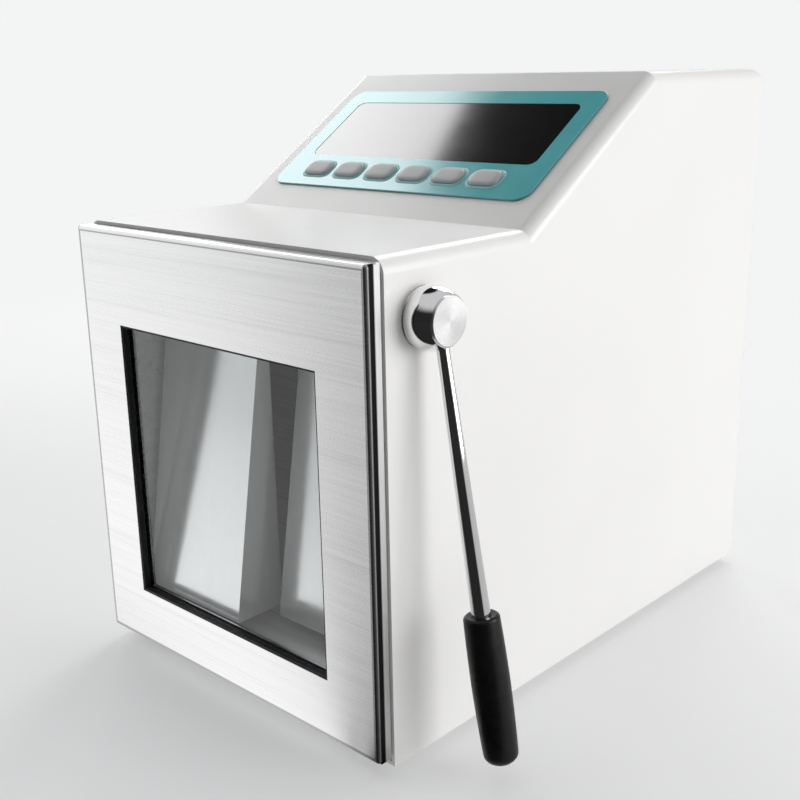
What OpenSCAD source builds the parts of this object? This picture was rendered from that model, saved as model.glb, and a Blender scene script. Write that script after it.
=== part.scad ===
// Paddle blender homogenizer: a bench machine that beats a sample bag between two paddles.
// Millimetres. +Z is up, the door faces -Y, the lever is on +X.
// The origin is on the bench, under the middle of the casing's footprint.

/* [Casing] */
// Width of the bay beside the chamber, which holds the lever's arms
side_bay = 26; // [25.5:0.5:40]
// Depth from the door's face to the back
body_d = 370; // [360:1:420]
// Height of the low deck above the casing's underside
deck_h = 264; // [260:1:290]
// Height of the rear hood above the casing's underside
hood_h = 342; // [336:1:370]
// Depth of the low deck, from the door's face to the foot of the slope
deck_d = 120; // [110:1:126]
// Depth from the door's face to the top of the slope
slope_end_d = 238; // [232:1:250]
// Sheet thickness of the casing
sheet_t = 2; // [1.5:0.1:2.5]
// Radius of the casing's long edges
edge_r = 8; // [5:0.5:10]
// Width of the flange that turns in under the casing
flange_w = 14; // [10:1:18]
// Gap left round a sheet that slips inside another
slip_gap = 0.1; // [0.05:0.05:0.3]

/* [Feet] */
// Clearance under the casing
foot_h = 5; // [4:0.5:10]
// Radius of a foot
foot_r = 13; // [10:1:16]
// Distance of a foot's centre from the casing's side
foot_inset_x = 30; // [30:1:40]
// Distance of a foot's centre from the casing's front and back
foot_inset_y = 32; // [30:1:50]

/* [Door] */
// Thickness of the door
door_t = 9; // [8.5:0.5:12]
// Gap between the closed door and the casing
door_gap = 1.5; // [1.3:0.1:2.5]
// Margin of the door inside the casing's width
door_side_gap = 1; // [0.5:0.5:3]
// Gap between the door's top edge and the deck's surface
door_top_gap = 2; // [1:0.5:4]
// Sheet thickness of the door
door_sheet = 1.5; // [1:0.1:1.8]
// Radius of the door's folded edges
door_fold_r = 2; // [1.6:0.1:2.5]
// Width of the window
window_w = 165; // [140:1:170]
// Height of the window
window_h = 167; // [140:1:168]
// Height of the window's lower edge above the casing's underside
window_z = 40; // [38:1:44]
// Thickness of the glass
glass_t = 3; // [3:0.5:4]
// Thickness of the rubber that lines the window
gasket_t = 1.2; // [1:0.1:1.5]
// Distance that the glass reaches behind the door's face all round the window
glass_lap = 9; // [6:1:11]
// Angle that the door opens to
door_travel = 30; // [24:1:30]

/* [Chamber] */
// Width inside the chamber
chamber_w = 188; // [184:1:200]
// Height of the chamber's floor above the casing's underside
chamber_z = 31; // [30:1:32]
// Height inside the chamber
chamber_h = 188; // [184:1:189]
// Depth from the door's face to the chamber's back wall
chamber_d = 72; // [72:1:76]
// Wall of the chamber
chamber_t = 1.5; // [1:0.1:2]
// Width of the seal round the chamber's mouth
seal_w = 3.5; // [3:0.5:4]

/* [Paddles] */
// Height of a paddle
paddle_h = 170; // [160:1:174]
// Lean of a paddle's face from upright
paddle_lean = 9.2; // [8:0.1:9.5]
// Half the gap between the two paddles
paddle_split = 5; // [3:0.5:8]
// Gap from a paddle's outer edge to the chamber's side
paddle_side_gap = 3; // [2:0.5:5]
// Gap from the forward paddle's foot to the door
paddle_door_gap = 2.5; // [2:0.5:4]
// Depth of a paddle's upper edge
paddle_top_t = 6; // [5:0.5:7]
// Metal thickness of a paddle
paddle_t = 2; // [1.5:0.1:2.5]
// Throw of each eccentric, half a paddle's stroke
throw = 11.5; // [10:0.5:11.5]

/* [Drive] */
// Radius of a push rod
rod_r = 7; // [6:0.5:8]
// Distance of a push rod from the middle of the machine
rod_x = 48; // [48:0.5:50]
// Height of the push rods and the crankshaft above the casing's underside
crank_h = 125; // [120:1:128]
// Radius of the crankshaft
crank_r = 7; // [6:0.5:8]
// Outer radius of the bearing on each eccentric
bearing_r = 27.5; // [27:0.5:29]
// Width of an eccentric
eccentric_w = 12; // [10:1:13]
// Length of the block that guides the push rods
guide_len = 40; // [36:1:42]
// Radius of the motor
motor_r = 38; // [34:1:39]
// Length of the motor
motor_len = 110; // [90:1:120]

/* [Lever] */
// Distance of the lever's shaft behind the door's face
shaft_d = 36.2; // [34:0.2:37]
// Height of the lever's shaft above the casing's underside
shaft_h = 232.7; // [231:0.1:235]
// Radius of the lever's shaft
shaft_r = 7; // [6:0.5:7.5]
// Radius of the ball-shaped hub
hub_r = 16; // [15:0.1:17]
// Length from the shaft's axis to the end of the grip
lever_len = 230; // [210:1:231]
// Lean of the lever away from the casing
lever_lean = 8.4; // [8:0.1:10]
// Lean of the lever towards the back
lever_rake = 1.9; // [0:0.1:3]
// Angle that the lever swings through
lever_travel = 110; // [100:1:110]
// Length of the grip
grip_len = 81; // [70:1:90]
// Radius of the grip at its middle
grip_r = 10; // [9:0.1:12]
// Length of the crank arms on the lever's shaft
arm_len = 76; // [75:0.5:78]
// Direction of the crank arms with the door shut, counted from the back, upwards
arm_start = 322; // [320:1:324]
// Radius of the rollers on the crank arms
roller_r = 5.5; // [5:0.1:6]

/* [Panel] */
// Margin of the control panel beside the display window
panel_margin = 7.7; // [6:0.1:12]
// Height of the control panel, up the slope
panel_h = 96.5; // [94:0.5:100]
// Distance of the control panel's lower edge from the foot of the slope
panel_s = 22.4; // [20:0.1:24]
// Thickness of the control panel
panel_t = 1.2; // [0.8:0.1:1.6]
// Corner radius of the control panel
panel_r = 9; // [6:0.5:12]
// Width of the display window
display_w = 181; // [170:1:184]
// Height of the display window, up the slope
display_h = 56.7; // [50:0.1:58]
// Distance from the panel's upper edge to the display window
display_top = 10.9; // [9:0.1:12]
// Distance between buttons
button_pitch = 27.3; // [24:0.1:29]
// Shift of the row of buttons to the left
button_shift = 2.3; // [0:0.1:5]
// Distance of the buttons' middle from the panel's lower edge
button_s = 15; // [13:0.1:17]
// Width of a button
button_w = 21.3; // [18:0.1:22]
// Height of a button, up the slope
button_h = 12.5; // [11:0.1:13]
// Height of a button above the panel
button_rise = 2.2; // [1.5:0.1:3]
// Travel of a button
button_travel = 0.8; // [0.5:0.1:1]

/* [Hidden] */
$fn = 64;

// Running clearance of a shaft in its bore, on the radius
run_fit = 0.05;
// Clearance of a fixed round piece in its seat, on the radius
seat_fit = 0.02;
// Clearance between pieces that only stand beside each other
side_gap = 0.3;
// Reach of a cut past the face it opens
cut = 1;

body_w = chamber_w + 2 * side_bay;
front_y = -body_d / 2;
back_y = body_d / 2;
deck_z = foot_h + deck_h;
hood_z = foot_h + hood_h;
shell_front_y = front_y + door_t + door_gap;
door_rear_y = front_y + door_t;
slope_y = front_y + deck_d;
slope_a = atan2(hood_h - deck_h, slope_end_d - deck_d);
inner_x = body_w / 2 - sheet_t;
floor_z = foot_h + sheet_t;
base_t = 2;
base_z = floor_z + base_t;

door_w = body_w - 2 * door_side_gap;
hinge_z = foot_h + 6;
hinge_y = door_rear_y + 5;
door_bottom_z = hinge_z - 1;
door_top_z = deck_z - door_top_gap;
window_low_z = foot_h + window_z;
hinge_r = 4;
pin_r = 2.5;
hinge_x = chamber_w / 2 - 24;
knuckle_w = 20;
ear_w = 4.5;
ear_gap = 0.5;
hinge_half = knuckle_w / 2 + ear_w;
hinge_notch = 2;

mouth_z = foot_h + chamber_z;
mouth_top_z = mouth_z + chamber_h;
chamber_back_y = front_y + chamber_d;
rim_rear_y = shell_front_y + sheet_t;

stroke = 2 * throw;
paddle_w = chamber_w / 2 - paddle_side_gap - paddle_split;
paddle_z = mouth_z + 8;
paddle_slant = paddle_h * tan(paddle_lean);
paddle_deep = paddle_slant + paddle_top_t;
paddle_foot_y = door_rear_y + paddle_door_gap;
crank_z = foot_h + crank_h;
guide_front_y = chamber_back_y + chamber_t;
guide_rear_y = guide_front_y + guide_len;
yoke_wall = 9;
// A half turn of the crank moves a yoke by a cosine, and the slot takes up its
// largest difference from an even motion, which is 0.2105 of the throw.
yoke_play = 0.2105 * throw + side_gap;
yoke_slot_w = 2 * (bearing_r + yoke_play);
yoke_slot_h = 2 * (bearing_r + throw) + 1;
yoke_deep = yoke_slot_w + 2 * yoke_wall;
crank_y = guide_rear_y + 1.5 + throw + yoke_deep / 2;
eccentric_r = throw + crank_r + 2.5;

shaft_y = front_y + shaft_d;
shaft_z = foot_h + shaft_h;
arm_x = chamber_w / 2 + 6.5;
arm_t = 5;
plate_x = arm_x + arm_t + 1.5;
plate_t = 4;
plate_wall = 6;
slot_half = roller_r + 0.1;
roller_gap = 0.8;
slot_steps = 40;
bush_x = plate_x + plate_t + 1.2;
hinge_p = [hinge_y, hinge_z];
shaft_p = [shaft_y, shaft_z];
arm_web_z = slot_p(0.5)[1] - slot_half - plate_wall;
arm_low_z = arm_web_z - 22;
arm_high_z = slot_p(1)[1] + 8;
arm_flange_w = 4;
dome_r = 15.2;
dome_t = 1.2;
dome_edge = 0.6;
hub_x = body_w / 2 + dome_t + 0.4;
hub_len = 15;
hub_ball_x = body_w / 2 + 7;
hub_face_r = sqrt(pow(hub_r, 2) - pow(hub_x + hub_len - hub_ball_x, 2));
cap_t = 1;
cap_edge = 0.9;
rod_root_x = hub_ball_x + 3.4;
rod_neck = hub_r + 4;
rod_root_r = 3.3;
rod_end_r = 5;
rod_seat = 8.5;
shaft_in_hub = 10;

panel_w = display_w + 2 * panel_margin;
display_s = panel_s + panel_h - display_top - display_h;
display_lip = 3;
display_r = 5.5;
button_count = 6;
button_row_s = panel_s + button_s;
button_gap = 0.35;
button_corner = 4.6;
board_n = 6.4;
board_t = 1.6;

SHELL = [0.93, 0.925, 0.91];
STEEL = [0.72, 0.73, 0.74];
CHROME = [0.86, 0.87, 0.89];
DARK = [0.16, 0.16, 0.17];
BLACK = [0.05, 0.05, 0.055];
GREY = [0.55, 0.55, 0.56];
AQUA = [0.45, 0.78, 0.78];
BOARD = [0.1, 0.35, 0.2];
BRASS = [0.75, 0.62, 0.35];

// Shared forms

// Right half of a rectangle that stands on the origin, with its upper corner rounded
module half_arch(w, h, r) {
    square([w / 2 - r, h]);
    translate([w / 2 - r, 0]) square([r, h - r]);
    translate([w / 2 - r, h - r]) corner(r, 1, 1);
}

// A form and its mirror image on the left
module both_sides() {
    children();
    mirror([1, 0, 0]) children();
}

// Quarter of a disc: the rounding of one corner, towards the side given by two signs
module corner(r, sx, sy) {
    intersection() {
        circle(r);
        translate([sx > 0 ? 0 : -r, sy > 0 ? 0 : -r]) square(r);
    }
}

// Centred rectangle with four rounded corners
module round_rect(w, h, r) {
    square([w, h - 2 * r], center = true);
    square([w - 2 * r, h], center = true);
    for (x = [-1, 1], y = [-1, 1])
        translate([x * (w / 2 - r), y * (h / 2 - r)]) corner(r, x, y);
}

// Profile in XZ, drawn from the plane y0 back to y1
module along_y(y0, y1) {
    translate([0, y1, 0]) rotate([90, 0, 0]) linear_extrude(y1 - y0) children();
}

// Profile in YZ, drawn from the plane x0 to x1
module along_x(x0, x1) {
    translate([x0, 0, 0]) rotate([90, 0, 90]) linear_extrude(x1 - x0) children();
}

// Round bar along X
module bar_x(x0, x1, r) {
    translate([x0, 0, 0]) rotate([0, 90, 0]) cylinder(h = x1 - x0, r = r);
}

// Round bar along Y
module bar_y(y0, y1, r) {
    translate([0, y1, 0]) rotate([90, 0, 0]) cylinder(h = y1 - y0, r = r);
}

// Box given by its two corners
module block(a, b) {
    translate(a) cube(b - a);
}

// Frame of the slope: x across, y up the slope from its foot, z out of the sheet
module on_slope() {
    translate([0, slope_y, deck_z]) rotate([slope_a, 0, 0]) children();
}

module at_shaft() {
    translate([0, shaft_y, shaft_z]) children();
}

module at_crank() {
    translate([0, crank_y, crank_z]) children();
}

// Casing

// Outline of the whole housing, drawn in by an inset all round, open past the front
module housing_form(inset, y0) {
    both_sides() housing_half(inset, y0);
}

module housing_half(inset, y0) {
    w = body_w - 2 * inset;
    r = edge_r - inset;
    z0 = foot_h + inset;
    reach = body_d + hood_h;
    intersection() {
        union() {
            translate([0, 0, z0]) along_y(y0, back_y) half_arch(w, deck_z - inset - z0, r);
            intersection() {
                translate([0, 0, z0]) along_y(y0, back_y) half_arch(w, hood_z - inset - z0, r);
                on_slope() translate([0, 0, -reach - inset]) along_y(-reach, reach)
                    half_arch(w, reach, r);
            }
        }
        along_x(-body_w, body_w) back_rounding(inset, y0);
    }
}

// Side outline with the two back corners rounded, in YZ
module back_rounding(inset, y0) {
    r = edge_r - inset;
    y1 = back_y - inset;
    z0 = foot_h + inset;
    z1 = hood_z - inset;
    translate([y0 - cut, z0]) square([y1 - r - y0 + cut, z1 - z0]);
    translate([y0 - cut, z0 + r]) square([y1 - y0 + cut, z1 - z0 - 2 * r]);
    translate([y1 - r, z0 + r]) corner(r, 1, -1);
    translate([y1 - r, z1 - r]) corner(r, 1, 1);
}

rear_margin = 25;
rear_w = body_w - 2 * rear_margin;
rear_t = 1.5;
rear_lap = 8;
rear_low_z = foot_h + 26;
rear_high_z = hood_z - 40;
screw_r = 1.6;
screw_inset = 10;
bush_wall = 3;

module outer_casing() {
    color(SHELL) difference() {
        housing_form(0, shell_front_y);
        housing_form(sheet_t, shell_front_y - cut);
        block([-body_w / 2 + flange_w, shell_front_y - cut, 0],
              [body_w / 2 - flange_w, back_y - flange_w, floor_z + cut]);
        block([-rear_w / 2, back_y - sheet_t - cut, rear_low_z],
              [rear_w / 2, back_y + cut, rear_high_z]);
        at_shaft() bar_x(inner_x - cut, body_w / 2 + cut,
                         shaft_r + bush_wall + seat_fit);
        on_slope() panel_cuts();
        each_cover_screw() bar_y(back_y - sheet_t - cut, back_y + cut, screw_r + seat_fit);
    }
}

// Openings under the display and the buttons
module panel_cuts() {
    translate([0, display_s + display_h / 2, -sheet_t - cut])
        linear_extrude(sheet_t + 2 * cut)
        square([display_w - 2 * display_lip, display_h - 2 * display_lip], center = true);
    for (i = [0:button_count - 1]) translate([button_x(i), button_row_s, -sheet_t - cut])
        linear_extrude(sheet_t + 2 * cut)
        round_rect(button_w + 2 * button_gap, button_h + 2 * button_gap, button_corner + button_gap);
}

function button_x(i) = (i - (button_count - 1) / 2) * button_pitch - button_shift;

base_vent_w = 5;
base_vent_len = 40;
base_vent_pitch = 14;
base_vent_inset = 60;
screw_play = 0.2;
foot_screw_r = 2;
foot_head_r = 4;
foot_head_t = 2.4;
foot_head_z = 0.6;
foot_recess = foot_head_z + foot_head_t;
foot_nut_r = 3.9;
foot_nut_t = 3;
foot_edge = 1.5;

module base_plate() {
    color(STEEL) difference() {
        block([-inner_x + slip_gap, shell_front_y, floor_z],
              [inner_x - slip_gap, back_y - edge_r, base_z]);
        for (x = [-1, 1]) translate([x * hinge_x, 0, 0])
            block([-hinge_half - hinge_notch, shell_front_y - cut, floor_z - cut],
                  [hinge_half + hinge_notch, hinge_y + hinge_r + ear_gap, base_z + cut]);
        each_foot() translate([0, 0, floor_z - cut])
            cylinder(h = base_t + 2 * cut, r = foot_screw_r + screw_play);
        for (i = [-3:3]) translate([i * base_vent_pitch, back_y - base_vent_inset, floor_z - cut])
            block([-base_vent_w / 2, -base_vent_len / 2, 0],
                  [base_vent_w / 2, base_vent_len / 2, base_t + 2 * cut]);
    }
}

module each_foot() {
    for (x = [-1, 1], y = [-1, 1])
        translate([x * (body_w / 2 - foot_inset_x), y * (body_d / 2 - foot_inset_y), 0])
        children();
}

module feet() {
    color(BLACK) each_foot() difference() {
        rotate_extrude() polygon([[0, 0], [foot_r - foot_edge, 0], [foot_r, foot_edge],
                                  [foot_r - foot_edge / 2, floor_z], [0, floor_z]]);
        translate([0, 0, foot_recess - cut])
            cylinder(h = floor_z - foot_recess + 2 * cut, r = foot_screw_r + screw_play);
        translate([0, 0, -cut]) cylinder(h = foot_recess + cut, r = foot_head_r + 3 * screw_play);
    }
}

module foot_screws() {
    color(STEEL) each_foot() {
        translate([0, 0, foot_recess])
            cylinder(h = base_z + foot_nut_t + 1 - foot_recess, r = foot_screw_r);
        translate([0, 0, base_z]) cylinder(h = foot_nut_t, r = foot_nut_r, $fn = 6);
        translate([0, 0, foot_head_z]) cylinder(h = foot_head_t, r = foot_head_r);
    }
}

// Back

inlet_x = rear_w / 2 - 33;
inlet_z = rear_low_z + 32;
inlet_w = 27.4;
inlet_h = 19.8;
inlet_deep = 26;
bezel_t = 1.8;
inlet_bezel = 2.5;
socket_w = 24;
socket_h = 16;
socket_deep = 14;
socket_slant = [3.5, 3];
blade_w = 2;
blade_h = 5;
blade_tip = 3;
blade_x = 7;
blade_z = 2;
switch_x = inlet_x - 44;
switch_w = 13;
switch_h = 19.4;
switch_deep = 18;
switch_bezel = 1.2;
switch_wall = 1.6;
switch_recess = 8;
louvre_w = 62;
louvre_h = 4;
louvre_x = 40;
louvre_pitch = 11;
louvre_top = 30;
louvre_rows = 9;

module rear_panel() {
    y1 = back_y - sheet_t;
    color(GREY) difference() {
        along_y(y1 - rear_t, y1) translate([0, (rear_low_z + rear_high_z) / 2])
            square([rear_w + 2 * rear_lap, rear_high_z - rear_low_z + 2 * rear_lap],
                   center = true);
        each_cover_screw() bar_y(y1 - rear_t - cut, y1 + cut, screw_r + seat_fit);
        along_y(y1 - rear_t - cut, y1 + cut) {
            translate([inlet_x, inlet_z]) square([inlet_w, inlet_h], center = true);
            translate([switch_x, inlet_z]) square([switch_w, switch_h], center = true);
            for (i = [0:louvre_rows - 1], j = [-1, 1])
                translate([j * louvre_x, rear_high_z - louvre_top - i * louvre_pitch])
                round_rect(louvre_w, louvre_h, louvre_h / 2 - slip_gap);
        }
    }
}

module power_inlet() {
    y1 = back_y - sheet_t;
    w = socket_w / 2;
    h = socket_h / 2;
    color(BLACK) translate([inlet_x, 0, inlet_z]) difference() {
        union() {
            along_y(y1 - inlet_deep, y1)
                square([inlet_w - 4 * slip_gap, inlet_h - 4 * slip_gap], center = true);
            along_y(y1, y1 + bezel_t)
                round_rect(inlet_w + 2 * inlet_bezel, inlet_h + 2 * inlet_bezel, 2);
        }
        along_y(y1 - socket_deep, y1 + bezel_t + cut)
            polygon([[-w, socket_slant[1] - h], [socket_slant[0] - w, -h],
                     [w - socket_slant[0], -h], [w, socket_slant[1] - h], [w, h], [-w, h]]);
    }
    color(BRASS) translate([inlet_x, 0, inlet_z])
        for (p = [[-blade_x, -blade_z], [blade_x, -blade_z], [0, blade_z]])
            block([p[0] - blade_w / 2, y1 - socket_deep, p[1] - blade_h / 2],
                  [p[0] + blade_w / 2, y1 - blade_tip, p[1] + blade_h / 2]);
}

module switch_body() {
    y1 = back_y - sheet_t;
    color(BLACK) translate([switch_x, 0, inlet_z]) difference() {
        union() {
            along_y(y1 - switch_deep, y1)
                square([switch_w - 4 * slip_gap, switch_h - 4 * slip_gap], center = true);
            along_y(y1, y1 + bezel_t)
                round_rect(switch_w + 2 * switch_bezel, switch_h + 2 * switch_bezel, 1);
        }
        along_y(y1 - switch_recess, y1 + bezel_t + cut)
            square([switch_w - 2 * switch_wall, switch_h - 2 * switch_wall], center = true);
    }
    color(BLACK) translate([switch_x, rocker_y, inlet_z])
        bar_x(-switch_w / 2 + switch_wall, switch_w / 2 - switch_wall, rocker_pin_r);
}

rocker_sink = 3;
rocker_y = back_y - sheet_t - rocker_sink;
rocker_pin_r = 1.2;
rocker_tilt = 9;
rocker_back = 2;
rocker_face = 3.2;
rocker_tip = 4.8;

module switch_rocker() {
    half = switch_h / 2 - switch_wall - 0.9;
    w = switch_w - 2 * switch_wall - 1.2;
    color(DARK) translate([switch_x, rocker_y, inlet_z]) rotate([rocker_tilt, 0, 0]) difference() {
        along_x(-w / 2, w / 2)
            polygon([[-rocker_back, rocker_back - half], [rocker_tip, -half], [rocker_face, 0],
                     [rocker_tip, half], [-rocker_back, half - rocker_back]]);
        bar_x(-switch_w, switch_w, rocker_pin_r + run_fit);
    }
}

module each_cover_screw() {
    for (x = [-1, 1], z = [rear_low_z - rear_lap / 2, rear_high_z + rear_lap / 2])
        translate([x * (rear_w / 2 - screw_inset), 0, z]) children();
}

module cover_screws() {
    color(CHROME) each_cover_screw() {
        bar_y(back_y, back_y + screw_r, 2 * screw_r);
        bar_y(back_y - sheet_t - rear_t, back_y, screw_r);
    }
}

// Front rim and chamber

// Slots in the rim that the door's arms and the crank arms pass through
rim_slot_x0 = arm_x - 1;
rim_slot_x1 = plate_x + plate_t + 1.8;
rim_slot_z0 = arm_low_z - 3;
rim_slot_z1 = shaft_z + 1;

module front_rim() {
    color(SHELL) difference() {
        translate([0, 0, base_z]) along_y(shell_front_y, rim_rear_y)
            both_sides() half_arch(2 * (inner_x - slip_gap),
                                   deck_z - sheet_t - slip_gap - base_z, edge_r - sheet_t);
        block([-chamber_w / 2, shell_front_y - cut, mouth_z],
              [chamber_w / 2, rim_rear_y + cut, mouth_top_z]);
        for (x = [-1, 1]) scale([x, 1, 1])
            block([rim_slot_x0, shell_front_y - cut, rim_slot_z0],
                  [rim_slot_x1, rim_rear_y + cut, rim_slot_z1]);
        for (x = [-1, 1]) translate([x * hinge_x, 0, 0])
            block([-hinge_half - hinge_notch, shell_front_y - cut, base_z - cut],
                  [hinge_half + hinge_notch, rim_rear_y + cut, hinge_z + leaf_h + 1]);
    }
}

module chamber_tub() {
    x1 = chamber_w / 2 + chamber_t;
    color(STEEL) difference() {
        block([-x1, rim_rear_y, mouth_z - chamber_t],
              [x1, chamber_back_y + chamber_t, mouth_top_z + chamber_t]);
        block([-chamber_w / 2, rim_rear_y - cut, mouth_z],
              [chamber_w / 2, chamber_back_y, mouth_top_z]);
        for (x = [-1, 1]) translate([x * rod_x, 0, crank_z])
            bar_y(chamber_back_y - cut, chamber_back_y + chamber_t + cut, rod_r + bush_wall + seat_fit);
    }
}

seal_edge = 1;

module chamber_seal() {
    w = chamber_w + 2 * seal_edge;
    h = chamber_h + 2 * seal_edge;
    color(BLACK) along_y(shell_front_y - door_gap + side_gap, shell_front_y)
        translate([0, mouth_z + chamber_h / 2]) difference() {
            round_rect(w + 2 * seal_w, h + 2 * seal_w, seal_w + 0.5);
            round_rect(w, h, seal_edge);
        }
}

// Paddles and their drive

// Side outline of a paddle, in YZ, drawn in by a wall
module paddle_outline(y0, wall) {
    lean = tan(paddle_lean);
    low = wall;
    high = paddle_h - wall;
    polygon([[y0 + low * lean + wall, paddle_z + low],
             [y0 + high * lean + wall, paddle_z + high],
             [y0 + paddle_deep + (wall > 0 ? cut : 0), paddle_z + high],
             [y0 + paddle_deep + (wall > 0 ? cut : 0), paddle_z + low]]);
}

function rod_front_y(y0) = y0 + (crank_z - paddle_z) * tan(paddle_lean) + paddle_t + 4;

// A pressed paddle, open at the back, with a boss for its rod
module paddle(side, y0) {
    x0 = side > 0 ? paddle_split : -paddle_split - paddle_w;
    color(STEEL) difference() {
        union() {
            difference() {
                along_x(x0, x0 + paddle_w) paddle_outline(y0, 0);
                along_x(x0 + paddle_t, x0 + paddle_w - paddle_t) paddle_outline(y0, paddle_t);
            }
            intersection() {
                translate([side * rod_x, 0, crank_z])
                    bar_y(y0, y0 + paddle_deep - 2, rod_r + 4);
                along_x(x0, x0 + paddle_w) paddle_outline(y0, 0);
            }
        }
        translate([side * rod_x, 0, crank_z])
            bar_y(rod_front_y(y0), y0 + paddle_deep + cut, rod_r + seat_fit);
    }
}

module push_rod(side, y0) {
    color(CHROME) translate([side * rod_x, 0, crank_z])
        bar_y(rod_front_y(y0), yoke_front(side), rod_r);
}

function yoke_mid(side) = crank_y + side * throw;
function yoke_front(side) = yoke_mid(side) - yoke_deep / 2;

module yoke(side) {
    color(STEEL) along_x(side * rod_x - eccentric_w / 2, side * rod_x + eccentric_w / 2)
        translate([yoke_mid(side), crank_z]) difference() {
            round_rect(yoke_deep, yoke_slot_h + 2 * yoke_wall, 8);
            round_rect(yoke_slot_w, yoke_slot_h, 4);
        }
}

bush_flange = 3;
bush_flange_t = 1.2;

module rod_bushes() {
    color(BRASS) for (x = [-1, 1]) translate([x * rod_x, 0, crank_z]) difference() {
        union() {
            bar_y(chamber_back_y - bush_flange_t, chamber_back_y,
                  rod_r + bush_wall + bush_flange);
            bar_y(chamber_back_y, guide_rear_y, rod_r + bush_wall);
        }
        bar_y(chamber_back_y - bush_flange_t - cut, guide_rear_y + cut, rod_r + run_fit);
    }
}

guide_wall = 8;

module guide_block() {
    half = rod_r + bush_wall + guide_wall;
    color(GREY) difference() {
        block([-rod_x - half, guide_front_y, crank_z - half],
              [rod_x + half, guide_rear_y, crank_z + half]);
        for (x = [-1, 1]) translate([x * rod_x, 0, crank_z])
            bar_y(guide_front_y - cut, guide_rear_y + cut, rod_r + bush_wall + seat_fit);
    }
}

support_x = rod_x + eccentric_w / 2 + 5;
support_t = 6;
support_r = 16;
support_half = 30;
support_foot_w = 22;
support_foot_t = 4;

module crank_supports() {
    color(GREY) for (x = [-1, 1]) scale([x, 1, 1]) difference() {
        union() {
            along_x(support_x, support_x + support_t) {
                polygon([[crank_y - support_half, base_z], [crank_y + support_half, base_z],
                         [crank_y + support_r, crank_z], [crank_y - support_r, crank_z]]);
                translate([crank_y, crank_z]) circle(support_r);
            }
            block([support_x, crank_y - support_half, base_z],
                  [support_x + support_foot_w, crank_y + support_half, base_z + support_foot_t]);
        }
        at_crank() bar_x(support_x - cut, support_x + support_t + cut, crank_r + run_fit);
    }
}

module crankshaft() {
    color(CHROME) at_crank() bar_x(-support_x - support_t, support_x + support_t, crank_r);
}

module eccentrics() {
    color(DARK) for (side = [-1, 1]) difference() {
        translate([0, crank_y + side * throw, crank_z])
            bar_x(side * rod_x - eccentric_w / 2, side * rod_x + eccentric_w / 2, eccentric_r);
        at_crank() bar_x(side * rod_x - eccentric_w, side * rod_x + eccentric_w,
                         crank_r + seat_fit);
    }
}

module eccentric_bearings() {
    color(CHROME) for (side = [-1, 1]) translate([0, crank_y + side * throw, crank_z])
        difference() {
            bar_x(side * rod_x - eccentric_w / 2, side * rod_x + eccentric_w / 2, bearing_r);
            bar_x(side * rod_x - eccentric_w, side * rod_x + eccentric_w,
                  eccentric_r + seat_fit);
        }
}

gear_half_x = rod_x - eccentric_w / 2 - 12;
gear_r = 28;
gear_rear_y = crank_y + gear_r;
gear_low = 32;
gear_high = 26;
gear_front = 22;
gear_foot_h = 12;
gear_neck = 3;
gear_neck_wall = 7;
motor_step = 3;
motor_nose = 8;
motor_tail = 12;
saddle_t = 4;
saddle_wall = 5;

module gearbox() {
    color(GREY) difference() {
        union() {
            along_x(-gear_half_x, gear_half_x) translate([crank_y, crank_z]) {
                circle(gear_r);
                translate([0, -gear_low]) square([gear_r, gear_low + gear_high]);
                translate([-gear_front, -gear_low]) square([gear_front + gear_r, gear_foot_h]);
            }
            at_crank() bar_x(-gear_half_x - gear_neck, gear_half_x + gear_neck,
                             crank_r + gear_neck_wall);
        }
        at_crank() bar_x(-gear_half_x - gear_neck - cut, gear_half_x + gear_neck + cut,
                         crank_r + run_fit);
    }
}

module motor() {
    rear_y = gear_rear_y + motor_len;
    color(DARK) translate([0, 0, crank_z]) {
        bar_y(gear_rear_y, rear_y, motor_r - 2 * motor_step);
        bar_y(gear_rear_y, rear_y - motor_tail, motor_r - motor_step);
        bar_y(gear_rear_y + motor_nose, rear_y - motor_tail - motor_step, motor_r);
    }
}

module motor_saddle() {
    y0 = crank_y - gear_front;
    top_z = crank_z - gear_low;
    color(STEEL) {
        block([-gear_half_x, y0, base_z], [gear_half_x, gear_rear_y, base_z + saddle_t]);
        for (x = [-1, 1]) scale([x, 1, 1])
            block([gear_half_x - saddle_wall, y0, base_z + saddle_t],
                  [gear_half_x, gear_rear_y, top_z - saddle_t]);
        block([-gear_half_x, y0, top_z - saddle_t], [gear_half_x, gear_rear_y, top_z]);
    }
}

supply_w = 56;
supply_len = 92;
supply_h = 36;
supply_side_gap = 12;
supply_foot_gap = 2.5;
fin_count = 7;
fin_t = 2;
fin_h = 8;

// The supply stands in front of the left rear foot's screw
module power_supply() {
    x0 = -inner_x + supply_side_gap;
    y1 = body_d / 2 - foot_inset_y - foot_nut_r - supply_foot_gap;
    color(STEEL) {
        block([x0, y1 - supply_len, base_z], [x0 + supply_w, y1, base_z + supply_h]);
        for (i = [0:fin_count - 1])
            translate([x0 + fin_t + i * (supply_w - 3 * fin_t) / (fin_count - 1), 0, 0])
            block([0, y1 - supply_len + fin_t, base_z + supply_h],
                  [fin_t, y1 - fin_t, base_z + supply_h + fin_h]);
    }
}

// Door

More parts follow.
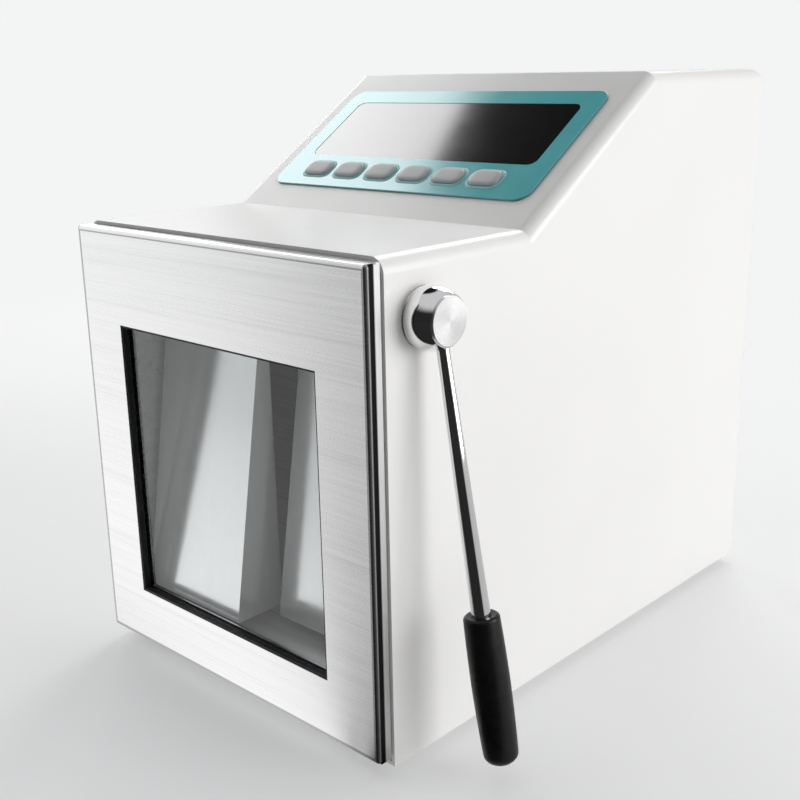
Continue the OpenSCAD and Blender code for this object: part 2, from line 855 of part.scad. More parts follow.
module door_frame() {
    w = door_w;
    h = door_top_z - door_bottom_z;
    z = (door_top_z + door_bottom_z) / 2;
    color(STEEL) difference() {
        union() {
            translate([0, 0, z]) along_y(front_y + door_fold_r, door_rear_y)
                square([w, h], center = true);
            translate([0, 0, z]) along_y(front_y, door_rear_y)
                square([w - 2 * door_fold_r, h - 2 * door_fold_r], center = true);
            for (s = [-1, 1]) {
                translate([0, front_y + door_fold_r, z + s * (h / 2 - door_fold_r)])
                    bar_x(-w / 2 + door_fold_r, w / 2 - door_fold_r, door_fold_r);
                translate([s * (w / 2 - door_fold_r), front_y + door_fold_r, z])
                    translate([0, 0, -h / 2 + door_fold_r])
                    cylinder(h = h - 2 * door_fold_r, r = door_fold_r);
                for (t = [-1, 1])
                    translate([s * (w / 2 - door_fold_r), front_y + door_fold_r,
                               z + t * (h / 2 - door_fold_r)]) sphere(door_fold_r);
            }
        }
        translate([0, 0, z]) along_y(front_y + door_sheet, door_rear_y + cut)
            square([w - 2 * door_sheet, h - 2 * door_sheet], center = true);
        at_window() along_y(front_y - cut, front_y + door_sheet + cut)
            square([window_w, window_h], center = true);
    }
}

module at_window() {
    translate([0, 0, window_low_z + window_h / 2]) children();
}

door_inner_t = 1.2;
door_inner_y = door_rear_y - door_inner_t;
glass_rear_y = door_inner_y - side_gap;
glass_corner = 3;
gasket_recess = 0.5;

module door_inner_panel() {
    w = door_w - 2 * door_sheet - 2 * slip_gap;
    h = door_top_z - door_bottom_z - 2 * door_sheet - 2 * slip_gap;
    color(STEEL) difference() {
        translate([0, 0, (door_top_z + door_bottom_z) / 2]) along_y(door_inner_y, door_rear_y)
            square([w, h], center = true);
        at_window() along_y(door_inner_y - cut, door_rear_y + cut)
            square([window_w, window_h], center = true);
    }
}

module door_glass() {
    color([0.75, 0.8, 0.82, 0.3]) at_window() along_y(glass_rear_y - glass_t, glass_rear_y)
        round_rect(window_w + 2 * glass_lap, window_h + 2 * glass_lap, glass_corner);
}

// Rubber that lines the window's edge and holds the glass off the sheet
module window_gasket() {
    lap = glass_lap - 1;
    color(BLACK) at_window() difference() {
        union() {
            along_y(front_y + gasket_recess, glass_rear_y - glass_t)
                square([window_w - slip_gap, window_h - slip_gap], center = true);
            along_y(front_y + door_sheet, glass_rear_y - glass_t)
                square([window_w + 2 * lap, window_h + 2 * lap], center = true);
        }
        along_y(front_y - cut, door_rear_y)
            square([window_w - 2 * gasket_t, window_h - 2 * gasket_t], center = true);
    }
}

module each_hinge() {
    for (x = [-1, 1]) translate([x * hinge_x, hinge_y, hinge_z]) children();
}

leaf_t = door_gap - 0.1;
leaf_h = 17;
leaf_web = 2.5;
ear_front = 5;
ear_deep = 12;
bracket_len = 30;
bracket_t = 2.5;
pin_head_t = 1.2;

module hinge_knuckles() {
    leaf_y = door_rear_y - hinge_y;
    color(STEEL) each_hinge() difference() {
        union() {
            bar_x(-knuckle_w / 2, knuckle_w / 2, hinge_r);
            block([-knuckle_w / 2, leaf_y, 0], [knuckle_w / 2, leaf_y + leaf_t, leaf_h]);
            block([-knuckle_w / 2, leaf_y, 0], [knuckle_w / 2, 0, leaf_web]);
        }
        bar_x(-knuckle_w, knuckle_w, pin_r + run_fit);
    }
}

module hinge_brackets() {
    x0 = knuckle_w / 2 + ear_gap;
    x1 = x0 + ear_w;
    low = base_z - hinge_z;
    color(STEEL) each_hinge() {
        for (s = [-1, 1]) scale([s, 1, 1]) difference() {
            union() {
                bar_x(x0, x1, hinge_r);
                block([x0, 0, -hinge_r / 2], [x1, ear_deep, hinge_r]);
            }
            bar_x(x0 - cut, x1 + cut, pin_r + seat_fit);
        }
        block([-x1, ear_deep, low], [x1, bracket_len, low + bracket_t]);
        for (s = [-1, 1]) scale([s, 1, 1]) block([x0, ear_front, low], [x1, ear_deep, hinge_r]);
    }
}

module hinge_pins() {
    x1 = knuckle_w / 2 + ear_gap + ear_w;
    color(CHROME) each_hinge() {
        bar_x(-x1, x1, pin_r);
        bar_x(x1, x1 + pin_head_t, pin_r + 1);
    }
}

// Slot in the door's arm: the path of the crank roller as the door sees it

function turn(p, a) = [p[0] * cos(a) - p[1] * sin(a), p[0] * sin(a) + p[1] * cos(a)];
function roller_p(t) = shaft_p + turn([arm_len, 0], arm_start - t * lever_travel);
function slot_p(t) = hinge_p + turn(roller_p(t) - hinge_p, -t * door_travel);
function slot_n(t) = let (d = slot_p(t + 0.001) - slot_p(t - 0.001)) [-d[1], d[0]] / norm(d);
function slot_side(r, s) = [for (i = [0:slot_steps]) slot_p(i / slot_steps)
                            + s * r * slot_n(i / slot_steps)];

// Band of a given half width round the roller's path, with round ends
module slot_band(r) {
    far_side = slot_side(r, 1);
    near_side = slot_side(r, -1);
    polygon(concat(far_side, [for (i = [slot_steps:-1:0]) near_side[i]]));
    translate(slot_p(0)) circle(r);
    translate(slot_p(1)) circle(r);
}

module door_arm(side) {
    color(STEEL) scale([side, 1, 1]) {
        along_x(plate_x, plate_x + plate_t) difference() {
            union() {
                slot_band(slot_half + plate_wall);
                polygon([slot_p(1), slot_p(0.5), [slot_p(0.5)[0], arm_web_z],
                         [door_rear_y, arm_low_z], [door_rear_y, arm_high_z]]);
                polygon([slot_p(0), slot_p(0.25), slot_p(0.5), slot_p(0.75), slot_p(1)]);
            }
            slot_band(slot_half);
        }
        block([plate_x - arm_flange_w, door_rear_y, arm_low_z],
              [plate_x, door_rear_y + leaf_t, arm_high_z]);
    }
}

door_screw_r = 1.8;
door_screw_t = 1.6;
door_screw_inset = 8;

module door_screws() {
    y0 = door_rear_y + leaf_t;
    color(CHROME) for (s = [-1, 1], z = [arm_low_z + door_screw_inset, arm_high_z - door_screw_inset])
        translate([s * (plate_x - arm_flange_w / 2), 0, z])
        bar_y(y0, y0 + door_screw_t, door_screw_r);
}

// Lever

module lever_shaft() {
    color(CHROME) at_shaft() bar_x(-inner_x + side_gap, hub_x + shaft_in_hub, shaft_r);
}

module shaft_bushes() {
    color(BRASS) at_shaft() difference() {
        union() {
            bar_x(bush_x, inner_x, shaft_r + 2 * bush_wall);
            bar_x(inner_x, body_w / 2, shaft_r + bush_wall);
            bar_x(-inner_x, -bush_x, shaft_r + 2 * bush_wall);
        }
        bar_x(-body_w, body_w, shaft_r + run_fit);
    }
}

// Ring over the shaft's hole, under the hub
module dome_escutcheon() {
    color(CHROME) at_shaft() difference() {
        union() {
            bar_x(body_w / 2, body_w / 2 + dome_t, dome_r - dome_edge);
            bar_x(body_w / 2, body_w / 2 + dome_t - dome_edge, dome_r);
        }
        bar_x(body_w / 2 - cut, body_w / 2 + dome_t + cut, shaft_r + run_fit);
    }
}

// The lever's own frame: z runs down the lever from the shaft's axis
module on_lever() {
    at_shaft() translate([rod_root_x, 0, 0])
        rotate([-180 + lever_rake, 0, 0]) rotate([0, lever_lean, 0]) children();
}

// Ball cut flat against the casing and under its cap
module lever_hub() {
    color(CHROME) difference() {
        at_shaft() difference() {
            intersection() {
                translate([hub_ball_x, 0, 0]) sphere(hub_r);
                bar_x(hub_x, hub_x + hub_len, 2 * hub_r);
            }
            bar_x(hub_x - cut, hub_x + shaft_in_hub + seat_fit, shaft_r + seat_fit);
        }
        on_lever() translate([0, 0, rod_seat]) cylinder(h = 2 * hub_r, r = rod_root_r + seat_fit);
    }
}

module hub_cap() {
    color(STEEL) at_shaft() bar_x(hub_x + hub_len, hub_x + hub_len + cap_t,
                                     hub_face_r - cap_edge);
}

grip_start = lever_len - grip_len;
grip_solid = 14;
rod_in_grip_r = rod_end_r - 1;

arm_pin_r = 3;
arm_root_wall = 5;
arm_tip_wall = 4.5;
arm_neck = 2;

// Frame of the crank arm: y runs along the arm from the shaft's axis
module on_arm(side) {
    at_shaft() rotate([arm_start, 0, 0]) scale([side, 1, 1]) children();
}

module crank_arm(side) {
    root_r = shaft_r + arm_root_wall;
    tip_r = arm_pin_r + arm_tip_wall;
    color(STEEL) on_arm(side) difference() {
        union() {
            bar_x(arm_x, arm_x + arm_t, root_r);
            translate([0, arm_len, 0]) bar_x(arm_x, arm_x + arm_t, tip_r);
            along_x(arm_x, arm_x + arm_t)
                polygon([[0, root_r - arm_neck], [arm_len, tip_r - arm_neck],
                         [arm_len, arm_neck - tip_r], [0, arm_neck - root_r]]);
        }
        bar_x(arm_x - cut, arm_x + arm_t + cut, shaft_r + seat_fit);
        translate([0, arm_len, 0]) bar_x(arm_x - cut, arm_x + arm_t + cut, arm_pin_r + seat_fit);
    }
}

module arm_rollers() {
    color(CHROME) for (side = [-1, 1]) on_arm(side) translate([0, arm_len, 0]) {
        bar_x(arm_x, plate_x + plate_t, arm_pin_r);
        bar_x(arm_x + arm_t + roller_gap, plate_x + plate_t + roller_gap / 2, roller_r);
    }
}

module lever_rod() {
    color(CHROME) on_lever() {
        translate([0, 0, rod_seat]) cylinder(h = rod_neck - rod_seat, r = rod_root_r);
        translate([0, 0, rod_neck])
            cylinder(h = grip_start - rod_neck, r1 = rod_root_r, r2 = rod_end_r);
        translate([0, 0, grip_start]) cylinder(h = grip_len - grip_solid, r = rod_in_grip_r);
    }
}

grip_lip = 2.2;
grip_edge = 0.8;
grip_nose_len = 6;
grip_waist = 0.7;
grip_taper = 0.2;
grip_steps = 10;

// Radius of the grip along its length, from 0 at its lip to 1 at its nose
function grip_radius(f) = grip_r - grip_waist * pow(1 - 2 * f, 2) - grip_taper * max(0, 2 * f - 1);

module lever_grip() {
    body_len = grip_len - grip_nose_len - 2 * grip_edge;
    color(BLACK) on_lever() translate([0, 0, grip_start]) difference() {
        rotate_extrude() polygon(concat(
            [[0, grip_edge], [grip_r - grip_lip, 0], [grip_r - grip_lip / 2, grip_edge]],
            [for (i = [0:grip_steps]) let (f = i / grip_steps)
                [grip_radius(f), 2 * grip_edge + f * body_len]],
            [for (i = [1:8]) let (a = 90 * i / 8)
                [grip_radius(1) * cos(a), grip_len - grip_nose_len * (1 - sin(a))]]));
        translate([0, 0, -cut])
            cylinder(h = grip_len - grip_solid + cut, r = rod_in_grip_r + seat_fit);
    }
}

// Control panel

module panel_overlay() {
    color(AQUA) on_slope() difference() {
        translate([0, panel_s + panel_h / 2, 0]) linear_extrude(panel_t)
            round_rect(panel_w, panel_h, panel_r);
        translate([0, display_s + display_h / 2, -cut]) linear_extrude(panel_t + 2 * cut)
            round_rect(display_w, display_h, display_r);
        for (i = [0:button_count - 1]) translate([button_x(i), button_row_s, -cut])
            linear_extrude(panel_t + 2 * cut)
            round_rect(button_w + 2 * button_gap, button_h + 2 * button_gap,
                       button_corner + button_gap);
    }
}

module display_window() {
    color(BLACK) on_slope() translate([0, display_s + display_h / 2, 0])
        linear_extrude(panel_t - 2 * slip_gap)
        round_rect(display_w - 2 * slip_gap, display_h - 2 * slip_gap, display_r - slip_gap);
}

module_margin = 5;
module_deep = 9;

module display_module() {
    w = display_w - 2 * display_lip;
    h = display_h - 2 * display_lip;
    color(BOARD) on_slope() translate([0, display_s + display_h / 2, -sheet_t]) {
        translate([0, 0, -board_t]) linear_extrude(board_t)
            square([w + 2 * module_margin, h + 2], center = true);
        linear_extrude(sheet_t - side_gap) square([w - 1, h - 1], center = true);
        translate([0, 0, -module_deep]) linear_extrude(module_deep - board_t)
            square([w - 4 * module_margin, h - 2 * module_margin], center = true);
    }
}

contact_w = 6;
post_r = 2;
keypad_margin = 5;

module keypad_board() {
    w = button_pitch * button_count + 2 * keypad_margin;
    color(BOARD) on_slope() {
        translate([-button_shift, button_row_s, -board_n - board_t]) linear_extrude(board_t)
            square([w, button_h + 2 * post_r], center = true);
        for (i = [0:button_count - 1]) translate([button_x(i), button_row_s, -board_n])
            linear_extrude(board_t) square(contact_w, center = true);
        for (s = [-1, 1])
            translate([s * (w / 2 - 1.5 * post_r) - button_shift, button_row_s, -board_n])
            cylinder(h = board_n - sheet_t, r = post_r);
    }
}

// A pillow-shaped key with a retaining flange under the sheet
button_flange = 1;
button_edge = 0.8;
// Inset and height of the steps that round a button's upper edge
button_steps = [[0.6, 0.5], [1.6, button_edge]];
stem_gap = 0.1;

module button(i) {
    flange_n = -sheet_t - side_gap;
    stem_n = -board_n + board_t + button_travel + stem_gap;
    color(GREY) on_slope() translate([button_x(i), button_row_s, 0]) {
        translate([0, 0, flange_n - button_flange]) linear_extrude(button_flange)
            round_rect(button_w + 2 * button_flange, button_h + 2 * button_flange, button_corner);
        translate([0, 0, flange_n]) linear_extrude(panel_t + button_rise - button_edge - flange_n)
            round_rect(button_w, button_h, button_corner);
        for (step = button_steps) translate([0, 0, panel_t + button_rise - button_edge])
            linear_extrude(step[1])
            round_rect(button_w - 2 * step[0], button_h - 2 * step[0], button_corner - step[0]);
        translate([0, 0, stem_n]) cylinder(h = flange_n - stem_n, r = post_r);
    }
}

outer_casing();
base_plate();
rear_panel();
front_rim();
chamber_tub();
chamber_seal();
hinge_brackets();
hinge_pins();
shaft_bushes();
dome_escutcheon();
panel_overlay();
display_window();
display_module();
keypad_board();
guide_block();
rod_bushes();
crank_supports();
gearbox();
motor();
motor_saddle();
power_supply();
power_inlet();
switch_body();
switch_rocker();
feet();
foot_screws();
cover_screws();
door_frame();
door_glass();
window_gasket();
door_inner_panel();
hinge_knuckles();
door_arm(-1);  // door_arm_left
door_arm(1);  // door_arm_right
door_screws();
lever_shaft();
crank_arm(-1);  // crank_arm_left
crank_arm(1);  // crank_arm_right
arm_rollers();
lever_hub();
hub_cap();
lever_rod();
lever_grip();
paddle(-1, paddle_foot_y);  // paddle_left
push_rod(-1, paddle_foot_y);  // push_rod_left
yoke(-1);  // yoke_left
paddle(1, paddle_foot_y + stroke);  // paddle_right
push_rod(1, paddle_foot_y + stroke);  // push_rod_right
yoke(1);  // yoke_right
crankshaft();
eccentrics();
eccentric_bearings();
button(0);  // button_1
button(1);  // button_2
button(2);  // button_3
button(3);  // button_4
button(4);  // button_5
button(5);  // button_6
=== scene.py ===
"""Looks of a bench paddle blender: casing, steel door, glass, chrome lever and control panel.

Lengths are in metres in the object's own frame: +Z up, the door faces -Y, the lever is on +X.
Azimuths count from the door's front (-Y) towards the lever's side (+X).
"""

import math

import bmesh
import bpy
from mathutils import Matrix, Vector


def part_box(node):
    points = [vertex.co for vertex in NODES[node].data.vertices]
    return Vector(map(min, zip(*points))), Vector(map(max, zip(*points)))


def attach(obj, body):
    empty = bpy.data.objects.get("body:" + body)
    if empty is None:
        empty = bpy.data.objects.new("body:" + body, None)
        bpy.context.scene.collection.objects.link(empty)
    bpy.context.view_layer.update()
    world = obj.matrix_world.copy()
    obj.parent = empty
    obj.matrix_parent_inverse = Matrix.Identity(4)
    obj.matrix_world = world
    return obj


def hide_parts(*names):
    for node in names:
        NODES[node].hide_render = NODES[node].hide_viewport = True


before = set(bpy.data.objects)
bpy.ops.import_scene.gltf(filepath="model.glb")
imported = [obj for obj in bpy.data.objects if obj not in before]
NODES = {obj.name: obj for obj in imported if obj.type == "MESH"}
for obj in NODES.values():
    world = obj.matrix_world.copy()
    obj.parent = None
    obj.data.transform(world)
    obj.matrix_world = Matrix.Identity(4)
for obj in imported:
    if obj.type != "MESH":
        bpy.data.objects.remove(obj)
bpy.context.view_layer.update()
MM = 0.001


def add_object(name, data):
    made = bpy.data.objects.new(name, data)
    bpy.context.scene.collection.objects.link(made)
    return made


# Camera: the photograph's place, turn and lens

CAMERA_AT = Vector((476.3, -541.1, 349.9)) * MM
CAMERA_AZIMUTH = math.radians(43.476)
CAMERA_ELEVATION = math.radians(16.143)
CAMERA_ROLL = math.radians(-1.132)
CAMERA_REACH = (0.01, 60)
SENSOR = 36.0
LENS = 51.17


def make_camera():
    data = bpy.data.cameras.new("camera")
    data.sensor_width = SENSOR
    data.lens = LENS
    data.clip_start, data.clip_end = CAMERA_REACH
    camera = add_object("camera", data)
    level = math.cos(CAMERA_ELEVATION)
    back = Vector((math.sin(CAMERA_AZIMUTH) * level, -math.cos(CAMERA_AZIMUTH) * level,
                   math.sin(CAMERA_ELEVATION)))
    right = (-back).cross(Vector((0, 0, 1))).normalized()
    up = right.cross(-back)
    c, s = math.cos(CAMERA_ROLL), math.sin(CAMERA_ROLL)
    right, up = c * right + s * up, -s * right + c * up
    turn = Matrix((right, up, back)).transposed()
    camera.matrix_world = Matrix.Translation(CAMERA_AT) @ turn.to_4x4()
    bpy.context.scene.camera = camera


# Shader helpers

# Sockets of the Mix node for its float and colour kinds, whose names repeat
MIX_FLOAT_A, MIX_FLOAT_B = 2, 3
MIX_COLOUR_A, MIX_COLOUR_B, MIX_COLOUR_OUT = 6, 7, 2
# Share of a band's half width over which it fades
BAND_SOFTNESS = 0.3


class Nodes:
    """A node tree, with short calls for the nodes used here."""

    def __init__(self, tree):
        self.tree = tree

    def node(self, kind, **settings):
        made = self.tree.nodes.new(kind)
        for key, value in settings.items():
            setattr(made, key, value)
        return made

    def link(self, output, target):
        self.tree.links.new(output, target)

    def feed(self, socket, value):
        """Links an output to a socket, or sets a plain value on it."""
        if isinstance(value, bpy.types.NodeSocket):
            self.link(value, socket)
        else:
            socket.default_value = value

    def math(self, operation, *values):
        made = self.node("ShaderNodeMath", operation=operation)
        for socket, value in zip(made.inputs, values):
            self.feed(socket, value)
        return made.outputs[0]

    def vector(self, operation, *values):
        """Vector maths; a length or a dot product comes out as a number."""
        made = self.node("ShaderNodeVectorMath", operation=operation)
        for socket, value in zip(made.inputs, values):
            self.feed(socket, value)
        return made.outputs["Value" if operation in ("LENGTH", "DOT_PRODUCT") else "Vector"]

    def split(self, vector):
        parts = self.node("ShaderNodeSeparateXYZ")
        self.link(vector, parts.inputs[0])
        return parts.outputs["X"], parts.outputs["Y"], parts.outputs["Z"]

    def spread(self, value, low, high, source=(0.25, 0.75), smooth=False):
        """A value from one range, the middle of a noise unless told, spread over another."""
        made = self.node("ShaderNodeMapRange",
                         interpolation_type="SMOOTHSTEP" if smooth else "LINEAR")
        made.inputs["From Min"].default_value, made.inputs["From Max"].default_value = source
        made.inputs["To Min"].default_value, made.inputs["To Max"].default_value = low, high
        self.link(value, made.inputs["Value"])
        return made.outputs["Result"]

    def step(self, value, start, end):
        """0 at one value and 1 at the other, smooth between."""
        return self.spread(value, 0.0, 1.0, source=(start, end), smooth=True)

    def below(self, value, limit, soft):
        """1 under a limit and 0 over it."""
        return self.step(value, limit + soft, limit - soft)

    def band(self, value, middle, half):
        """1 within half of a middle value."""
        away = self.math("ABSOLUTE", self.math("SUBTRACT", value, middle))
        return self.below(away, half, half * BAND_SOFTNESS)

    def ramp(self, source, stops, interpolation="LINEAR"):
        """Colours along a value, given as (position, colour) pairs."""
        made = self.node("ShaderNodeValToRGB")
        ramp = made.color_ramp
        ramp.interpolation = interpolation
        while len(ramp.elements) < len(stops):
            ramp.elements.new(0.5)
        for element, (position, colour) in zip(ramp.elements, stops):
            element.position = position
            element.color = (*colour, 1.0)
        self.link(source, made.inputs["Fac"])
        return made.outputs["Color"]

    def mix_value(self, first, second, share):
        made = self.node("ShaderNodeMix", data_type="FLOAT")
        self.feed(made.inputs["Factor"], share)
        self.feed(made.inputs[MIX_FLOAT_A], first)
        self.feed(made.inputs[MIX_FLOAT_B], second)
        return made.outputs[0]

    def blend_colour(self, colour, other, mask, share=1.0):
        """Another colour where a mask is 1, up to a share."""
        made = self.node("ShaderNodeMix", data_type="RGBA")
        self.link(self.math("MULTIPLY", mask, share), made.inputs["Factor"])
        self.feed(made.inputs[MIX_COLOUR_A], colour)
        self.feed(made.inputs[MIX_COLOUR_B], (*other, 1))
        return made.outputs[MIX_COLOUR_OUT]

    def shine(self, kind, **values):
        """A shader node with its inputs set, and its output."""
        made = self.node(kind)
        for key, value in values.items():
            self.feed(made.inputs[key], value)
        return made.outputs[0]

    def mix_shader(self, share, first, second):
        made = self.node("ShaderNodeMixShader")
        for socket, output in zip(made.inputs, (share, first, second)):
            self.link(output, socket)
        return made.outputs[0]


class Graph(Nodes):
    """A material with a Principled shader."""

    def __init__(self, name):
        self.material = bpy.data.materials.new(name)
        self.material.use_nodes = True
        super().__init__(self.material.node_tree)
        self.shader = self.tree.nodes["Principled BSDF"]

    def set(self, **values):
        for key, value in values.items():
            self.shader.inputs[key.replace("_", " ")].default_value = value

    def surface(self, output):
        self.link(output, self.tree.nodes["Material Output"].inputs["Surface"])

    def place(self):
        """Object coordinates in metres."""
        return self.node("ShaderNodeTexCoord").outputs["Object"]

    def noise(self, scale=1.0, detail=4.0, roughness=0.5, stretch=(1, 1, 1)):
        mapping = self.node("ShaderNodeMapping")
        mapping.inputs["Scale"].default_value = stretch
        self.link(self.place(), mapping.inputs["Vector"])
        made = self.node("ShaderNodeTexNoise")
        made.inputs["Scale"].default_value = scale
        made.inputs["Detail"].default_value = detail
        made.inputs["Roughness"].default_value = roughness
        self.link(mapping.outputs["Vector"], made.inputs["Vector"])
        return made.outputs["Fac"]

    def mottle(self, colour, source, dark, light, low=0.3, high=0.7):
        """Base colour that goes from a darker to a lighter shade along a noise."""
        self.colour(self.ramp(source, [(low, shade(colour, dark)), (high, shade(colour, light))]))

    def bump(self, height, strength, distance):
        made = self.node("ShaderNodeBump")
        made.inputs["Strength"].default_value = strength
        made.inputs["Distance"].default_value = distance
        self.link(height, made.inputs["Height"])
        self.link(made.outputs["Normal"], self.shader.inputs["Normal"])

    def colour(self, output):
        self.link(output, self.shader.inputs["Base Color"])

    def rough(self, output):
        self.link(output, self.shader.inputs["Roughness"])


def shade(colour, factor):
    return tuple(min(1.0, c * factor) for c in colour)


# Materials

# The panel's slope runs from its foot to its head, as (y, z) in the part's source.
SLOPE_FOOT = (-65 * MM, 269 * MM)
SLOPE_HEAD = (53 * MM, 347 * MM)
SLOPE_ANGLE = math.atan2(SLOPE_HEAD[1] - SLOPE_FOOT[1], SLOPE_HEAD[0] - SLOPE_FOOT[0])
SLOPE_UP = (0.0, math.cos(SLOPE_ANGLE), math.sin(SLOPE_ANGLE))
SLOPE_NORMAL = (0.0, -math.sin(SLOPE_ANGLE), math.cos(SLOPE_ANGLE))
HUB_CENTRE = tuple((Vector(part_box("hub_cap")[0]) + Vector(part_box("hub_cap")[1])) / 2)
BRUSH_TURN = 0.25


def paint(name, colour, gloss=0.34):
    """Stove enamel: a little orange peel and a faint change of tone."""
    g = Graph(name)
    g.mottle(colour, g.noise(scale=9, detail=3), dark=0.985, light=1.01)
    g.rough(g.spread(g.noise(scale=60, detail=3), gloss - 0.03, gloss + 0.05))
    g.bump(g.noise(scale=1500, detail=2), strength=0.06, distance=0.08 * MM)
    g.set(Coat_Weight=0.2, Coat_Roughness=0.15)
    return g.material


def scratches(g, fine, wide, wide_share, along, roughness):
    """Long scratches along one axis; fine and wide are (scale along, scale across)."""
    noises = []
    for (length, across), detail, rough in ((fine, 6, roughness), (wide, 3, 0.5)):
        stretch = tuple(length if axis else across for axis in along)
        noises.append(g.noise(detail=detail, roughness=rough, stretch=stretch))
    return g.mix_value(*noises, wide_share)


def brushed(name, colour, along=(1, 0, 0), gloss=0.3, depth=0.25, dark=0.78,
            metal=1.0, sheen_stretch=0.55):
    """Steel brushed along one axis: scratches in tone, gloss and height."""
    g = Graph(name)
    grain = scratches(g, fine=(6.0, 900.0), wide=(1.5, 160.0), wide_share=0.35, along=along,
                      roughness=0.65)
    g.colour(g.ramp(grain, [(0.3, shade(colour, dark)), (0.5, colour),
                            (0.72, shade(colour, 1.12))]))
    g.rough(g.spread(grain, gloss - 0.06, gloss + 0.12))
    g.bump(grain, strength=depth, distance=0.06 * MM)
    g.set(Metallic=metal, Anisotropic=sheen_stretch, Anisotropic_Rotation=BRUSH_TURN)
    return g.material


DOOR_TONES = [(0.3, (0.69, 0.69, 0.688)), (0.5, (0.8, 0.8, 0.798)), (0.72, (0.88, 0.88, 0.88))]
# The door's painted shade and reflection lines: place and half width, or limit and softness, of
# each
SEAM_SHADE = (2.6 * MM, 0.4 * MM)
FRONT_FACE = (1.2 * MM, 0.5 * MM)
FOLD_REFLECTION = (2.1 * MM, 0.3 * MM)
FLANK = (0.9 * MM, 0.4 * MM)
GAP_SHADOW = (3.3 * MM, 1.8 * MM)
TOP_GAP_SHADOW = (6.0 * MM, 0.5 * MM)
OUTER_SKIN = (0.6 * MM, 0.3 * MM)


def door_steel(name):
    """Brushed door skin with painted shade and reflection: a line inside its edges, the bend,
    black gaps.
    """
    g = Graph(name)
    low, high = (Vector(corner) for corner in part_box("door_frame"))
    grain = scratches(g, fine=(7.0, 1100.0), wide=(1.6, 220.0), wide_share=0.3,
                      along=(1, 0, 0), roughness=0.7)
    steel = g.ramp(grain, DOOR_TONES)
    x, y, z = g.split(g.place())
    from_side = g.math("SUBTRACT", (high.x - low.x) / 2, g.math("ABSOLUTE", x))
    from_low = g.math("SUBTRACT", z, low.z)
    from_high = g.math("SUBTRACT", high.z, z)
    deep = g.math("SUBTRACT", y, low.y)
    from_fold = g.math("MINIMUM", from_side, from_low)
    # Painted shade: a dark line 2.6 mm in from the sides, bottom and top, at the edge of the face
    # sheet.
    seam_shade = g.band(g.math("MINIMUM", from_fold, from_high), *SEAM_SHADE)
    # Painted reflection: the front face goes dark within 2.1 mm of the sides and bottom, on the
    # rounded bend.
    fold_reflection = g.math("MULTIPLY", g.below(deep, *FRONT_FACE), g.below(from_fold, *FOLD_REFLECTION))
    # Painted shade: the sides are greyed in the blend below; they are also made rougher.
    flank = g.below(from_side, *FLANK)
    # Painted shadow: a black band along the sides, 1.5 to 5.1 mm back, for the gap to the casing.
    gap_shadow = g.math("MULTIPLY", g.band(deep, *GAP_SHADOW), g.below(from_side, *OUTER_SKIN))
    # Painted shadow: a dark line across the top, 6 mm back, for the gap to the casing's deck.
    top_gap_shadow = g.math("MULTIPLY", g.band(deep, *TOP_GAP_SHADOW), g.below(from_high, *OUTER_SKIN))
    for mask, colour, share in ((seam_shade, (0.2, 0.2, 0.2), 0.75), (fold_reflection, (0.2, 0.2, 0.202), 0.8),
                                (flank, (0.52, 0.52, 0.52), 0.85),
                                (gap_shadow, (0.008, 0.008, 0.008), 1.0),
                                (top_gap_shadow, (0.1, 0.1, 0.1), 0.9)):
        steel = g.blend_colour(steel, colour, mask, share)
    g.colour(steel)
    flank_dulling = 0.2
    g.rough(g.math("ADD", g.spread(grain, 0.2, 0.36), g.math("MULTIPLY", flank, flank_dulling)))
    g.bump(grain, strength=0.22, distance=0.06 * MM)
    g.set(Metallic=1.0, Anisotropic=0.5, Anisotropic_Rotation=BRUSH_TURN)
    return g.material


def polished(name, colour, gloss=0.06):
    """Chrome or ground steel with faint smears."""
    g = Graph(name)
    g.mottle(colour, g.noise(scale=30, detail=2), dark=0.96, light=1.0)
    g.rough(g.spread(g.noise(scale=120, detail=4), gloss, gloss + 0.06))
    g.bump(g.noise(scale=900, detail=2), strength=0.02, distance=0.04 * MM)
    g.set(Metallic=1.0)
    return g.material


def machined(name, colour, gloss=0.42):
    """Cast or machined aluminium, zinc-plated sheet and bronze: a fine grey mottle."""
    g = Graph(name)
    cloud = g.noise(scale=70, detail=6, roughness=0.7)
    g.mottle(colour, cloud, dark=0.82, light=1.08)
    g.rough(g.spread(cloud, gloss - 0.08, gloss + 0.1))
    g.bump(g.noise(scale=500, detail=5), strength=0.15, distance=0.1 * MM)
    g.set(Metallic=1.0)
    return g.material


def rubber(name, colour, gloss):
    """Moulded rubber: dull, with a fine grain."""
    g = Graph(name)
    g.mottle(colour, g.noise(scale=40, detail=5), dark=0.8, light=1.35, low=0.35)
    g.rough(g.spread(g.noise(scale=200, detail=4), gloss - 0.08, gloss + 0.12))
    g.bump(g.noise(scale=1400, detail=4), strength=0.3, distance=0.1 * MM)
    g.set(Specular_IOR_Level=0.3)
    return g.material


def plastic(name, colour, gloss, grain=0.12):
    """Moulded or lacquered plastic."""
    g = Graph(name)
    g.mottle(colour, g.noise(scale=25, detail=3), dark=0.94, light=1.05)
    g.rough(g.spread(g.noise(scale=90, detail=3), gloss - 0.04, gloss + 0.06))
    g.bump(g.noise(scale=2200, detail=3), strength=grain, distance=0.06 * MM)
    return g.material


